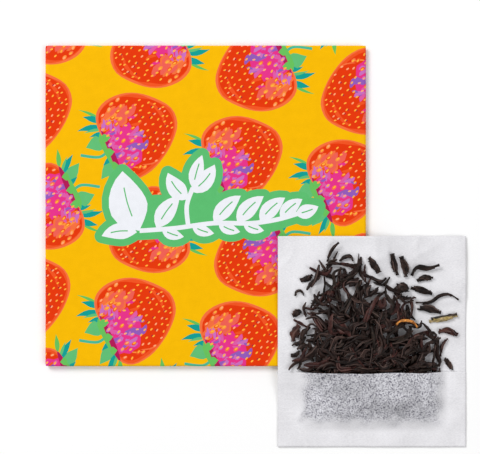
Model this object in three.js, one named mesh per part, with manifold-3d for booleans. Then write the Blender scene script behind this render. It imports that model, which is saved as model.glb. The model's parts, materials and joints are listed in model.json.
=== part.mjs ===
// A tea bag with its envelope: a filter bag of leaf tea, cut open near its middle, lying across
// one corner of the flat square envelope that it comes in.
// Millimetres, +Z up, on the surface z = 0. The origin is the centre of the part's footprint.
import * as THREE from "three";
import { mergeVertices } from "three/addons/utils/BufferGeometryUtils.js";
import Module from "manifold-3d";

const wasm = await Module();
wasm.setup();

// ---- Driving dimensions ----
const ENVELOPE = 85; // side of the square envelope
const CARD = 0.3; // thickness of its coated card
const FACE_Z = 1.8; // height of its printed face
const BACK_Z = 0.4; // underside of its back panel, clear of the closing flap
const CLOSING_FLAP = 24; // reach of the closing flap under the back panel
const GLUE_FLAP = 12; // reach of the two side flaps glued inside the back panel
const FLAP_SPLAY = 5; // how much narrower a flap is at its free edge, at each end
const GLUE_SINK = 0.02; // glued faces share this much, so the sheet is one solid

const BAG_WIDTH = 50;
const BAG_LENGTH = 56;
const BAG_CENTRE = new THREE.Vector2(44.1, -36); // from the envelope's centre
const PAPER = 0.12; // thickness of the filter paper
const SIDE_SEAL = 5; // heat-sealed margin down each side
const END_SEAL = 4; // heat-sealed margin across the lower end
const CUT_Y = -8; // where the upper ply ends, from the bag's centre
const SAG_RUN = 12; // the bag comes down from the envelope to the surface over this distance

const TEA_DEPTH = 4.5; // thickness of the bed of tea at its middle
const GAP = 0.3; // between the bag and the envelope
const TEA_GAP = 0.25; // between the tea and each ply
const RIM_SHARE = 0.5; // how much of its depth the bed keeps at its rim, beside the seals
const HEAP_EDGE = 0.4; // thickness of the heap where it thins out
const HEAP_FALL = 0.6; // how it thins, as a power of the distance from its far end
const HEAP_LUMPS = 0.12; // unevenness of its surface, as a share of its depth
const COLUMN = 2.5; // grid of the bag's paper, across
const ROW = 2; // and along

const half = ENVELOPE / 2;

// ---- Helpers ----
function smooth(t) {
  const c = THREE.MathUtils.clamp(t, 0, 1);
  return c * c * (3 - 2 * c);
}

function range(from, to, step) {
  const count = Math.round((to - from) / step);
  return Array.from({ length: count + 1 }, (_, i) => from + ((to - from) * i) / count);
}

// A closed three.js geometry as a manifold solid.
function solid(geometry) {
  const bare = geometry.clone();
  bare.deleteAttribute("normal");
  bare.deleteAttribute("uv");
  const merged = mergeVertices(bare, 1e-4);
  return new wasm.Manifold(
    new wasm.Mesh({
      numProp: 3,
      vertProperties: merged.attributes.position.array,
      triVerts: new Uint32Array(merged.index.array),
    }),
  );
}

// A manifold solid as a flat-shaded three.js geometry.
function geometryOf(manifold) {
  const mesh = manifold.getMesh();
  const position = new THREE.BufferAttribute(mesh.vertProperties, 3);
  const geometry = new THREE.BufferGeometry().setAttribute("position", position);
  geometry.setIndex(new THREE.BufferAttribute(mesh.triVerts, 1));
  const flat = geometry.toNonIndexed();
  flat.computeVertexNormals();
  return flat;
}

// A plan outline extruded from one height to another.
function prism(points, low, high) {
  const outline = new THREE.Shape(points.map(([x, y]) => new THREE.Vector2(x, y)));
  const body = new THREE.ExtrudeGeometry(outline, { depth: high - low, bevelEnabled: false });
  return solid(body.translate(0, 0, low));
}

// A sheet over a grid of points: point(i, j) is [x, y, underside, top].
function sheetGeometry(columns, rows, point) {
  const position = [];
  const index = [];
  const stride = rows * 2;
  for (let i = 0; i < columns; i++) {
    for (let j = 0; j < rows; j++) {
      const [x, y, low, high] = point(i, j);
      position.push(x, y, low, x, y, high);
    }
  }
  const low = (i, j) => i * stride + j * 2;
  const high = (i, j) => low(i, j) + 1;
  const quad = (a, b, c, d) => index.push(a, b, c, a, c, d);
  for (let i = 0; i + 1 < columns; i++) {
    for (let j = 0; j + 1 < rows; j++) {
      quad(high(i, j), high(i + 1, j), high(i + 1, j + 1), high(i, j + 1));
      index.push(low(i, j), low(i + 1, j + 1), low(i + 1, j));
      index.push(low(i, j), low(i, j + 1), low(i + 1, j + 1));
    }
  }
  for (let i = 0; i + 1 < columns; i++) {
    quad(low(i, 0), low(i + 1, 0), high(i + 1, 0), high(i, 0));
    quad(low(i + 1, rows - 1), low(i, rows - 1), high(i, rows - 1), high(i + 1, rows - 1));
  }
  for (let j = 0; j + 1 < rows; j++) {
    quad(low(0, j + 1), low(0, j), high(0, j), high(0, j + 1));
    quad(low(columns - 1, j), low(columns - 1, j + 1), high(columns - 1, j + 1), high(columns - 1, j));
  }
  const geometry = new THREE.BufferGeometry();
  geometry.setAttribute("position", new THREE.Float32BufferAttribute(position, 3));
  geometry.setIndex(index);
  return geometry;
}

function mesh(name, geometry, material) {
  geometry.computeVertexNormals();
  const made = new THREE.Mesh(geometry, material);
  made.name = name;
  return made;
}

// ---- Envelope: one sheet of card, folded and glued ----
const LEFT_FOLD = FACE_Z / 2; // outer radius of the fold to the closing flap
const SPINE_FOLD = (FACE_Z - BACK_Z) / 2; // and to the back panel
const SIDE_FOLD = (FACE_Z - BACK_Z - CARD + GLUE_SINK) / 2; // and to a glued flap

// The section across the closing flap, the front, the spine and the back panel.
function wrapSection() {
  const left = -half + LEFT_FOLD;
  const right = half - SPINE_FOLD;
  const flapEnd = left + CLOSING_FLAP;
  const backEnd = left + 1;
  const up = Math.PI / 2;
  const shape = new THREE.Shape();
  shape.moveTo(flapEnd, 0);
  shape.lineTo(left, 0);
  shape.absarc(left, LEFT_FOLD, LEFT_FOLD, -up, up, true);
  shape.lineTo(right, FACE_Z);
  shape.absarc(right, FACE_Z - SPINE_FOLD, SPINE_FOLD, up, -up, true);
  shape.lineTo(backEnd, BACK_Z);
  shape.lineTo(backEnd, BACK_Z + CARD);
  shape.lineTo(right, BACK_Z + CARD);
  shape.absarc(right, FACE_Z - SPINE_FOLD, SPINE_FOLD - CARD, -up, up, false);
  shape.lineTo(left, FACE_Z - CARD);
  shape.absarc(left, LEFT_FOLD, LEFT_FOLD - CARD, up, -up, false);
  shape.lineTo(flapEnd, CARD);
  shape.closePath();
  return shape;
}

// The section across one glued flap, its fold and the edge of the front: x runs outwards.
function flapSection() {
  const edge = half - SIDE_FOLD;
  const middle = FACE_Z - SIDE_FOLD;
  const up = Math.PI / 2;
  const shape = new THREE.Shape();
  shape.moveTo(edge - 1, FACE_Z - CARD);
  shape.lineTo(edge, FACE_Z - CARD);
  shape.absarc(edge, middle, SIDE_FOLD - CARD, up, -up, true);
  shape.lineTo(edge - GLUE_FLAP, middle - SIDE_FOLD + CARD);
  shape.lineTo(edge - GLUE_FLAP, middle - SIDE_FOLD);
  shape.lineTo(edge, middle - SIDE_FOLD);
  shape.absarc(edge, middle, SIDE_FOLD, -up, up, false);
  shape.lineTo(edge - 1, FACE_Z);
  shape.closePath();
  return shape;
}

function envelopeGeometry() {
  const arcs = { bevelEnabled: false, curveSegments: 6 };
  const length = ENVELOPE - 2 * SIDE_FOLD;
  const wrap = new THREE.ExtrudeGeometry(wrapSection(), { depth: length, ...arcs });
  let sheet = solid(wrap.translate(0, 0, -length / 2).rotateX(Math.PI / 2));

  const foldLine = half - LEFT_FOLD;
  for (const side of [1, -1]) {
    const strip = new THREE.ExtrudeGeometry(flapSection(), { depth: ENVELOPE, ...arcs });
    strip.translate(0, 0, -half).rotateX(Math.PI / 2).rotateZ((side * Math.PI) / 2);
    const plan = [
      [-foldLine, side * (half + 1)],
      [-foldLine, side * (foldLine - 1)],
      [-foldLine + FLAP_SPLAY, side * (half - GLUE_FLAP - 1)],
      [foldLine - FLAP_SPLAY, side * (half - GLUE_FLAP - 1)],
      [foldLine, side * (foldLine - 1)],
      [foldLine, side * (half + 1)],
    ];
    const ordered = side > 0 ? plan : plan.reverse();
    sheet = sheet.add(solid(strip).intersect(prism(ordered, -1, FACE_Z + 1)));
    const free = -foldLine + CLOSING_FLAP + 1;
    const corner = [
      [-foldLine, side * (half + 1)],
      [-foldLine, side * (half - 1)],
      [free, side * (half - 1 - FLAP_SPLAY)],
      [free, side * (half + 1)],
    ];
    sheet = sheet.subtract(prism(side > 0 ? corner : corner.reverse(), -1, (CARD + BACK_Z) / 2));
  }
  return geometryOf(sheet);
}

// ---- Filter bag and tea: heights over the bag's own plan, from its centre ----
// Underside of the bag, which rests on the envelope's corner and sags past its edges.
function rest(x, y) {
  const pastSide = Math.max(x + BAG_CENTRE.x - half, 0);
  const pastEnd = Math.max(-half - y - BAG_CENTRE.y, 0);
  const lowered = smooth(Math.hypot(pastSide, pastEnd) / SAG_RUN);
  return (FACE_Z + GAP) * (1 - lowered);
}

const chamberHalf = BAG_WIDTH / 2 - SIDE_SEAL;
const chamberEnd = -BAG_LENGTH / 2 + END_SEAL;

// Depth of the tea under the upper ply.
function depth(x, y) {
  const across = Math.max(0, 1 - Math.abs(x / chamberHalf) ** 2.5);
  return TEA_DEPTH * across * smooth((y - chamberEnd) / 9);
}

const columnsX = range(-BAG_WIDTH / 2, BAG_WIDTH / 2, COLUMN);
const rowsY = range(-BAG_LENGTH / 2, BAG_LENGTH / 2, ROW);

function lowerPly() {
  return sheetGeometry(columnsX.length, rowsY.length, (i, j) => {
    const [x, y] = [columnsX[i], rowsY[j]];
    return [x, y, rest(x, y), rest(x, y) + PAPER];
  });
}

// The upper ply lies in the lower one's seals and arches over the tea, open at the cut.
function upperPly() {
  const rows = rowsY.filter((y) => y <= CUT_Y + 0.01);
  return sheetGeometry(columnsX.length, rows.length, (i, j) => {
    const [x, y] = [columnsX[i], rows[j]];
    const sealed = Math.abs(x) > chamberHalf - 0.01 || y < chamberEnd + 0.01;
    const underside = rest(x, y) + (sealed ? PAPER / 2 : PAPER + 2 * TEA_GAP + depth(x, y));
    return [x, y, underside, underside + PAPER];
  });
}

function filterBagGeometry() {
  return geometryOf(solid(lowerPly()).add(solid(upperPly())));
}

// Edges of the heap that lies past the cut, from the bag's centre line.
const heapLeft = new THREE.CatmullRomCurve3(
  [[-18.7, -8], [-18.2, 0], [-17.7, 8], [-15.6, 14.8], [-11, 20.6]]
    .map(([x, y]) => new THREE.Vector3(x, y, 0)),
);
const heapRight = new THREE.CatmullRomCurve3(
  [[18.7, -8], [16.2, -1.4], [13.3, 6], [6.2, 12.2], [-5.6, 19.8]]
    .map(([x, y]) => new THREE.Vector3(x, y, 0)),
);

// The bed of tea: its columns match the paper's grid under the upper ply, then fan out to the heap's edges.
function teaGeometry() {
  const inner = columnsX.filter((x) => Math.abs(x) < chamberHalf - 0.01);
  const edge = chamberHalf - COLUMN / 2;
  const columns = [-edge, ...inner, edge];
  const covered = [chamberEnd + ROW / 2, ...rowsY.filter((y) => y > chamberEnd + 0.01 && y < CUT_Y + 0.01)];
  const heapRows = 13;
  // A height where the grid has no line: the rim of the bed is half-way between two of them.
  const atSide = (x) => Math.abs(x) > edge - 0.01;
  const atEnd = (y) => y < chamberEnd + ROW - 0.01;
  const between = (height, x, y) => {
    const xs = atSide(x) ? [x - COLUMN / 2, x + COLUMN / 2] : [x];
    const ys = atEnd(y) ? [y - ROW / 2, y + ROW / 2] : [y];
    const values = xs.flatMap((cx) => ys.map((cy) => height(cx, cy)));
    return values.reduce((sum, value) => sum + value) / values.length;
  };
  return sheetGeometry(columns.length, covered.length + heapRows, (i, j) => {
    const across = (columns[i] + edge) / (2 * edge);
    if (j < covered.length) {
      const [x, y] = [columns[i], covered[j]];
      const low = between(rest, x, y) + PAPER + TEA_GAP;
      const share = atSide(x) || atEnd(y) ? RIM_SHARE : 1;
      const corner = atSide(x) && atEnd(y) ? 1 : 0; // drawn in, clear of the paper's crease
      const inX = corner * Math.sign(x) * (COLUMN / 3);
      const inY = corner * (ROW / 3);
      return [x - inX, y + inY, low, low + share * between(depth, x, y)];
    }
    const along = (j - covered.length + 1) / heapRows;
    const { x, y } = heapLeft.getPoint(along).lerp(heapRight.getPoint(along), across);
    const low = rest(x, y) + PAPER + TEA_GAP;
    const sides = 1 - Math.abs(2 * across - 1) ** 2.5;
    const fall = (1 - along) ** HEAP_FALL;
    const lumps = 1 + HEAP_LUMPS * Math.sin(1.3 * x + 0.7 * y) * Math.cos(0.9 * y - 0.4 * x);
    return [x, y, low, low + HEAP_EDGE + TEA_DEPTH * sides * fall * lumps * smooth(4 * (1.15 - along))];
  });
}

// ---- Single leaves, each a rolled, tapering sliver along its own curve ----
// [name, colour, width, thickness, twist in turns, points from the bag's centre as x, y, lift]
const DARK = "#1d1512";
const BROWN = "#3a2420";
const LEAVES = [
  ["leaf_curl_top", DARK, 0.9, 0.7, 0.4,
    [[-12, 21.3, 0], [-11.4, 23, 0.5], [-10.4, 24.8, 1], [-8.9, 26.3, 1.4]]],
  ["leaf_hook_top", DARK, 1.0, 0.7, 0.3,
    [[-8.6, 21.3, 0], [-7.4, 22.4, 0.3], [-5.9, 22.6, 0.4], [-5.2, 21.4, 0.2]]],
  ["leaf_flat_top", DARK, 2.1, 0.8, 0.2, [[1.6, 18.2, 0.2], [0.6, 20, 0.1], [-1.1, 22.3, 0.3]]],
  ["leaf_rolled_a", DARK, 1.9, 1.0, 0.5, [[6.5, 17.6, 0], [5.9, 20.4, 0.2], [5.2, 23.4, 0.6]]],
  ["leaf_rolled_b", DARK, 1.9, 1.0, 0.3, [[9.3, 17.2, 0], [8.8, 19.8, 0.1], [7.7, 22.6, 0.3]]],
  ["leaf_long_bow", DARK, 1.3, 0.8, 0.5,
    [[10.8, 17.4, 0], [11.8, 19.6, 0.2], [14.8, 19.4, 0.2], [17.9, 20.3, 0.5]]],
  ["leaf_short_right", DARK, 1.7, 0.8, 0.2, [[11.9, 16.2, 0], [13.9, 16.9, 0.1], [16.2, 16.7, 0.1]]],
  ["leaf_knot", DARK, 2.3, 1.3, 0.3, [[6.6, 14.2, 0], [8, 14.4, 0.1], [8.9, 13.2, 0]]],
  ["leaf_flat_right", DARK, 1.9, 0.8, 0.3, [[10.3, 14.3, 0], [13, 13.7, 0.2], [16, 12.9, 0.1]]],
  ["twig_long", DARK, 1.0, 0.8, 0.6,
    [[11.6, 10.4, 0], [15.2, 10.5, 0.1], [18, 12.2, 0.3], [20.4, 12.5, 0.3], [22.9, 11, 0.2]]],
  ["leaf_stick_right", DARK, 1.7, 1.0, 0.3, [[12, 8.7, 0], [15.2, 8.6, 0.1], [18.4, 7.9, 0]]],
  ["leaf_tip_pale", "#8d7c45", 1.8, 0.9, 0.2, [[15.2, 5.6, 0], [18.6, 6.1, 0.2], [22.7, 7, 0.4]]],
  ["leaf_red_curl", BROWN, 1.8, 0.9, 0.5, [[17.6, 2.7, 0], [20.2, 3, 0.2], [22.7, 1.6, 0.1]]],
  ["twig_red", BROWN, 1.0, 0.8, 0.5, [[20, 0.9, 0.2], [18.6, -1.4, 0.1], [18.4, -4, 0]]],
  ["leaf_low_right", DARK, 1.5, 0.8, 0.2, [[19.4, -4.4, 0], [20.4, -5.8, 0], [21.2, -7.6, 0]]],
  ["leaf_point_left", DARK, 1.7, 0.8, 0.3, [[-15.8, 17.8, 0.1], [-17.2, 16.9, 0.1], [-19.1, 16.3, 0.3]]],
  ["leaf_hook_left", DARK, 0.8, 0.6, 0.2,
    [[-18.1, 12.3, 0], [-18.9, 13.6, 0.2], [-20, 13.4, 0.1], [-20.4, 12.2, 0]]],
  ["leaf_stub_left", DARK, 1.9, 1.1, 0.2, [[-18.9, 8.3, 0], [-20, 7.7, 0], [-21.2, 7.1, 0]]],
  ["leaf_red_left", BROWN, 2.6, 0.8, 0.2, [[-19.6, 4.6, 0], [-20.5, 2.4, 0.1], [-20.4, 0.2, 0]]],
  ["leaf_low_left", DARK, 1.3, 0.8, 0.3, [[-19.2, -2.4, 0], [-20.2, -3.3, 0.1], [-21.6, -3.6, 0.1]]],
];
const RIB = 6; // sides of a leaf's section
const STATIONS = 9; // sections along a leaf

function leafGeometry(width, thickness, turns, points) {
  const curve = new THREE.CatmullRomCurve3(
    points.map(([x, y, lift]) => {
      const ground = rest(x, y) + PAPER + TEA_GAP + 0.1;
      return new THREE.Vector3(x, y, ground + width / 2 + lift);
    }),
  );
  const position = [];
  const index = [];
  for (let s = 0; s <= STATIONS; s++) {
    const along = s / STATIONS;
    const centre = curve.getPointAt(along);
    const ahead = curve.getTangentAt(along);
    const side = new THREE.Vector3(-ahead.y, ahead.x, 0).normalize();
    const up = new THREE.Vector3().crossVectors(ahead, side);
    const taper = s === 0 || s === STATIONS ? 0 : 0.35 + 0.65 * Math.sin(Math.PI * along) ** 0.7;
    if (taper === 0) {
      position.push(...centre.toArray());
      continue;
    }
    const turn = 2 * Math.PI * turns * (along - 0.5);
    for (let r = 0; r < RIB; r++) {
      const angle = (2 * Math.PI * r) / RIB;
      const a = (width / 2) * taper * Math.cos(angle);
      const b = (thickness / 2) * taper * Math.sin(angle);
      const across = a * Math.cos(turn) - b * Math.sin(turn);
      const lifted = a * Math.sin(turn) + b * Math.cos(turn);
      position.push(...centre.clone().addScaledVector(side, across).addScaledVector(up, lifted).toArray());
    }
  }
  const ring = (s, r) => 1 + (s - 1) * RIB + (r % RIB);
  const last = 1 + (STATIONS - 1) * RIB;
  for (let r = 0; r < RIB; r++) {
    index.push(0, ring(1, r + 1), ring(1, r));
    index.push(last, ring(STATIONS - 1, r), ring(STATIONS - 1, r + 1));
    for (let s = 1; s < STATIONS - 1; s++) {
      index.push(ring(s, r), ring(s, r + 1), ring(s + 1, r + 1));
      index.push(ring(s, r), ring(s + 1, r + 1), ring(s + 1, r));
    }
  }
  const geometry = new THREE.BufferGeometry();
  geometry.setAttribute("position", new THREE.Float32BufferAttribute(position, 3));
  geometry.setIndex(index);
  return geometry;
}

// ---- Assembly ----
const printedCard = new THREE.MeshStandardMaterial({ color: "#f6bd05", roughness: 0.45, metalness: 0 });
const filterPaper = new THREE.MeshStandardMaterial({ color: "#dcdde2", roughness: 0.9, metalness: 0 });
const driedTea = new THREE.MeshStandardMaterial({ color: DARK, roughness: 0.75, metalness: 0 });

const bag = new THREE.Group();
bag.position.set(BAG_CENTRE.x, BAG_CENTRE.y, 0);
bag.add(mesh("filter_bag", filterBagGeometry(), filterPaper));
bag.add(mesh("tea_bed", teaGeometry(), driedTea));
for (const [name, color, width, thickness, turns, points] of LEAVES) {
  const material = new THREE.MeshStandardMaterial({ color, roughness: 0.75, metalness: 0 });
  bag.add(mesh(name, leafGeometry(width, thickness, turns, points), material));
}

const layout = new THREE.Group();
layout.add(mesh("envelope", envelopeGeometry(), printedCard), bag);
const reachX = BAG_CENTRE.x + BAG_WIDTH / 2;
const reachY = BAG_CENTRE.y - BAG_LENGTH / 2;
layout.position.set((half - reachX) / 2, -(half + reachY) / 2, 0);

const teaBag = new THREE.Group();
teaBag.add(layout);
export default teaBag;
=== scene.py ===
"""A tea bag lying across one corner of its printed square envelope: the looks around the model.

Shapes are worked out in millimetres, each in its own plan measured from the middle of the envelope
or of the bag, and turned into the frame's metres when a mesh is made.
"""

import json
import random
from math import atan2, ceil, copysign, cos, dist, hypot, inf, pi, radians, sin, sqrt, tanh, tau

import bmesh
import bpy
import numpy as np
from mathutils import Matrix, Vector, noise
from mathutils.bvhtree import BVHTree
from mathutils.geometry import delaunay_2d_cdt


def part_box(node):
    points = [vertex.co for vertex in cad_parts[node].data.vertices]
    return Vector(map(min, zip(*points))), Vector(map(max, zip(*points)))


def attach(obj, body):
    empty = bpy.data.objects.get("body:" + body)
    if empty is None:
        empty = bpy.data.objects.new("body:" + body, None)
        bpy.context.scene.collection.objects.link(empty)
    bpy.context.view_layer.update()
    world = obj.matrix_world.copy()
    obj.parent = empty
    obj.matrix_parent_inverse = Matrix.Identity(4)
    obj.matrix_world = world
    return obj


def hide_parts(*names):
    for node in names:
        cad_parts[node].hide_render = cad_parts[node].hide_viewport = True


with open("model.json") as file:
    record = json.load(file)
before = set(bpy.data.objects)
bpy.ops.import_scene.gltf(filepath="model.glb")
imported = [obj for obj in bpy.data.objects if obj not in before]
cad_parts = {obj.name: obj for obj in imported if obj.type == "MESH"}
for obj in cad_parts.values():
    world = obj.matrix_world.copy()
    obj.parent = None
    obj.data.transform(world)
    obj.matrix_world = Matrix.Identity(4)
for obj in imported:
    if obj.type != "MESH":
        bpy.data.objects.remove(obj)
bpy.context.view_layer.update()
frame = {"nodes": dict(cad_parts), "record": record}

MM = 0.001
SEED = 20

env_low, env_high = (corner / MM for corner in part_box("envelope"))
bag_low, bag_high = (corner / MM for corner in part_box("filter_bag"))
env_centre = (env_low + env_high) / 2
bag_centre = (bag_low + bag_high) / 2


# ---- Camera, light and floor ----
LENS = 135  # long, so that the view is nearly parallel
SENSOR = 36
VIEW_WIDTH = 127.1  # what the picture's width takes in at the printed face
VIEW_CENTRE = env_centre + Vector((9.1, -5.6, 0))
SKY_STRENGTH = 0.53
LAMPS = {  # where each stands and how wide it is, both in metres, and its power
    "Key": ((-0.55, 0.6, 0.75), 0.5, 7.3),
    "Fill": ((0.7, -0.35, 0.8), 0.6, 2.6),
}
FLOOR_WIDTH = 6
FLOOR_GREY = 0.96


def new_object(name, data):
    made = bpy.data.objects.new(name, data)
    bpy.context.scene.collection.objects.link(made)
    return made


def make_camera():
    data = bpy.data.cameras.new("Camera")
    data.lens = LENS
    data.sensor_width = SENSOR
    data.clip_start = 0.01
    camera = new_object("Camera", data)
    distance = VIEW_WIDTH * LENS / SENSOR
    camera.location = Vector((VIEW_CENTRE.x, VIEW_CENTRE.y, env_high.z + distance)) * MM
    bpy.context.scene.camera = camera


def make_softbox(name, place, width, power):
    data = bpy.data.lights.new(name, "AREA")
    data.shape = "DISK"
    data.size = width
    data.energy = power
    light = new_object(name, data)
    light.location = place
    light.rotation_euler = (-Vector(place)).to_track_quat("-Z", "Y").to_euler()


def make_studio():
    scene = bpy.context.scene
    scene.view_settings.view_transform = "Standard"
    world = bpy.data.worlds.new("Studio")
    world.use_nodes = True
    background = world.node_tree.nodes["Background"]
    background.inputs["Color"].default_value = grey(1)
    background.inputs["Strength"].default_value = SKY_STRENGTH
    scene.world = world
    for name, lamp in LAMPS.items():
        make_softbox(name, *lamp)

    bpy.ops.mesh.primitive_plane_add(size=FLOOR_WIDTH)
    floor = bpy.context.object
    floor.name = "Floor"
    paint = new_material("Floor", Base_Color=grey(FLOOR_GREY), Roughness=0.8)[0]
    floor.data.materials.append(paint)


# ---- Materials ----
def linear(red, green, blue):
    """A colour given as 0 to 255 on a screen, as the shader's linear values."""
    def channel(value):
        value /= 255
        return value / 12.92 if value <= 0.04045 else ((value + 0.055) / 1.055) ** 2.4

    return (channel(red), channel(green), channel(blue), 1.0)


def grey(value):
    return (value, value, value, 1)


def tint_pairs(*rows):
    """Each row is two colours, as red, green and blue on a screen."""
    return [(linear(*row[:3]), linear(*row[3:])) for row in rows]


def new_material(name, **looks):
    """A Principled material, its shader, and a function that adds nodes to it."""
    made = bpy.data.materials.new(name)
    made.use_nodes = True
    tree = made.node_tree
    shader = tree.nodes["Principled BSDF"]
    for key, value in looks.items():
        shader.inputs[key.replace("_", " ")].default_value = value

    def add(kind, links=(), **values):
        node = tree.nodes.new(kind)
        for key, value in values.items():
            if key in node.inputs:
                node.inputs[key].default_value = value
            else:
                setattr(node, key, value)
        for key, socket in dict(links).items():
            tree.links.new(socket, node.inputs[key])
        return node

    add.link = tree.links.new
    return made, shader, add


def ramp(add, value, stops):
    """A colour ramp on a value: stops are (position, colour)."""
    node = add("ShaderNodeValToRGB", {"Fac": value})
    elements = node.color_ramp.elements
    while len(elements) < len(stops):
        elements.new(0.5)
    for element, (position, colour) in zip(elements, stops):
        element.position = position
        element.color = colour
    return node.outputs["Color"]


def blend_colours(add, factor, first, second, kind="MIX"):
    """first and second are colours or sockets; factor a number or a socket."""
    node = add("ShaderNodeMix", data_type="RGBA", blend_type=kind)
    for key, value in ((0, factor), (6, first), (7, second)):
        if isinstance(value, bpy.types.NodeSocket):
            add.link(value, node.inputs[key])
        else:
            node.inputs[key].default_value = value
    return node.outputs[2]


def multiplied(add, first, second):
    return blend_colours(add, 1.0, first, second, "MULTIPLY")


def surface_noise(add, scale_mm, detail, stretch=(1, 1, 1)):
    """Noise whose grains are about scale_mm wide, over the piece's own place."""
    place = add("ShaderNodeTexCoord").outputs["Object"]
    mapping = add("ShaderNodeMapping", {"Vector": place}, Scale=stretch)
    texture = add(
        "ShaderNodeTexNoise", {"Vector": mapping.outputs["Vector"]},
        Scale=1 / (scale_mm * MM), Detail=detail,
    )
    return texture.outputs["Fac"]


def patchy(add, scale_mm, detail, greys, stops=(0.3, 0.7)):
    """A grey that wanders between two values, in patches about scale_mm wide."""
    low, high = greys
    start, end = stops
    return ramp(add, surface_noise(add, scale_mm, detail), [(start, grey(low)), (end, grey(high))])


def bump(add, shader, height, distance_mm, strength):
    node = add("ShaderNodeBump", {"Height": height}, Distance=distance_mm * MM, Strength=strength)
    add.link(node.outputs["Normal"], shader.inputs["Normal"])


def card_material():
    """Coated card: the print's own inks, with a faint mottle, a paper tooth and a soft sheen."""
    made, shader, add = new_material("PrintedCard", Specular_IOR_Level=0.05)
    ink = add("ShaderNodeVertexColor", layer_name="Ink").outputs["Color"]
    mottle = patchy(add, 2.2, 6, (0.95, 1.0))
    grain = patchy(add, 0.25, 3, (0.95, 1.0), (0.35, 0.65))
    add.link(multiplied(add, multiplied(add, ink, mottle), grain), shader.inputs["Base Color"])
    add.link(patchy(add, 1.1, 4, (0.42, 0.52)), shader.inputs["Roughness"])
    bump(add, shader, surface_noise(add, 0.18, 4), 0.02, 0.25)
    return made


def filter_material():
    """Filter paper: long soft fibres, broad patches of painted shade, and the tea behind it as a fine
    dark speckle.
    """
    made, shader, add = new_material(
        "FilterPaper", Roughness=0.9, Specular_IOR_Level=0.2, Sheen_Weight=0.15
    )
    tea = add("ShaderNodeAttribute", attribute_name="Tea").outputs["Fac"]
    fibres = surface_noise(add, 0.5, 8, (1, 3.5, 1))
    clean = ramp(add, fibres, [(0.3, linear(221, 220, 224)), (0.7, linear(240, 239, 242))])
    # Painted shade: the clean paper is darkened by up to a tenth in broad soft patches.
    clean = multiplied(add, clean, patchy(add, 9, 3, (0.9, 1.0), (0.35, 0.65)))
    fine = ramp(add, surface_noise(add, 0.42, 6), [
        (0.34, linear(102, 100, 113)), (0.46, linear(185, 184, 191)), (0.62, linear(222, 222, 227)),
    ])
    clumps = patchy(add, 1.7, 4, (0.86, 1.08), (0.35, 0.65))
    broad = patchy(add, 8, 3, (0.7, 1.06), (0.33, 0.65))
    backed = multiplied(add, multiplied(add, fine, clumps), broad)
    add.link(blend_colours(add, tea, clean, backed), shader.inputs["Base Color"])
    bump(add, shader, surface_noise(add, 0.35, 6, (1, 2.5, 1)), 0.05, 0.5)
    return made


def tea_material():
    """Dried rolled leaf: each leaf's own tint, streaked along it, with a painted highlight along its
    ridges.
    """
    made, shader, add = new_material("DriedTea", Specular_IOR_Level=0.16)
    tint = add("ShaderNodeVertexColor", layer_name="Tint").outputs["Color"]
    ridge = add("ShaderNodeAttribute", attribute_name="RidgeHighlight").outputs["Fac"]
    streaks = surface_noise(add, 0.5, 8)
    colour = multiplied(add, tint, ramp(add, streaks, [(0.3, grey(0.4)), (0.7, grey(1.3))]))
    # Painted highlight: the ridges and the free edge of each rolled strand are lightened towards a pale
    # brown.
    painted_highlight = ramp(add, ridge, [(0.55, grey(0.0)), (1.0, grey(0.6))])
    colour = blend_colours(add, painted_highlight, colour, linear(124, 100, 93))
    add.link(colour, shader.inputs["Base Color"])
    add.link(ramp(add, streaks, [(0.3, grey(0.3)), (0.7, grey(0.5))]), shader.inputs["Roughness"])
    bump(add, shader, surface_noise(add, 0.22, 5), 0.08, 0.7)
    return made


# ---- Meshes ----
def store(layer, key, values):
    layer.data.foreach_set(key, np.array(values, np.float32).ravel())


def make_piece(name, points, faces, uv, centre, material, nodes):
    """A piece from points in mm about centre, riding on the root in place of CAD nodes.

    uv is its own map: one (u, v) per face corner.
    """
    mesh = bpy.data.meshes.new(name)
    offset = np.array([centre.x, centre.y, 0.0])
    mesh.from_pydata(((np.array(points) + offset) * MM).tolist(), [], faces)
    mesh.materials.append(material)
    mesh.shade_smooth()
    store(mesh.uv_layers.new(name="OFBake"), "uv", uv)
    piece = new_object(name, mesh)
    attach(piece, "root")
    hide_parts(*nodes)
    return piece


def store_colours(mesh, name, domain, colours):
    store(mesh.color_attributes.new(name, "FLOAT_COLOR", domain), "color", colours)


def store_values(mesh, name, values):
    store(mesh.attributes.new(name, "FLOAT", "POINT"), "value", values)


def smooth(value):
    value = min(max(value, 0.0), 1.0)
    return value * value * (3 - 2 * value)


def wave(x, y, size, lane=0.0):
    """Smooth noise from -1 to 1 whose hills are about size across."""
    return noise.noise(Vector((x / size, y / size, lane)))


# ---- Outlines ----
def towards(angle):
    """The unit vector in the plan at an angle."""
    return Vector((cos(angle), sin(angle)))


def curve_point(a, b, c, d, t):
    """A point at a share t of the way from b to c on a smooth curve through all four."""
    return 0.5 * (
        2 * b + (c - a) * t + (2 * a - 5 * b + 4 * c - d) * t * t + (3 * b - a - 3 * c + d) * t ** 3
    )


def spline(points, steps=3):
    """A smooth closed outline through the points."""
    made = []
    count = len(points)
    for i in range(count):
        near = [Vector(points[(i + k) % count]) for k in (-1, 0, 1, 2)]
        made += [curve_point(*near, step / steps) for step in range(steps)]
    return made


def anticlockwise(points):
    area = sum(a.x * b.y - b.x * a.y for a, b in zip(points, points[1:] + points[:1]))
    return points if area > 0 else points[::-1]


def ellipse(centre, angle, length, width, sides=8, bend=0.0):
    """An ellipse from half its length and width, turned by angle; bend curves it like a brushstroke."""
    turned = towards(angle)
    side = turned.orthogonal()
    points = []
    for k in range(sides):
        reach, rise = cos(tau * k / sides), sin(tau * k / sides)
        lift = width * rise + bend * length * reach * reach
        points.append(Vector(centre) + turned * length * reach + side * lift)
    return points


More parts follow.
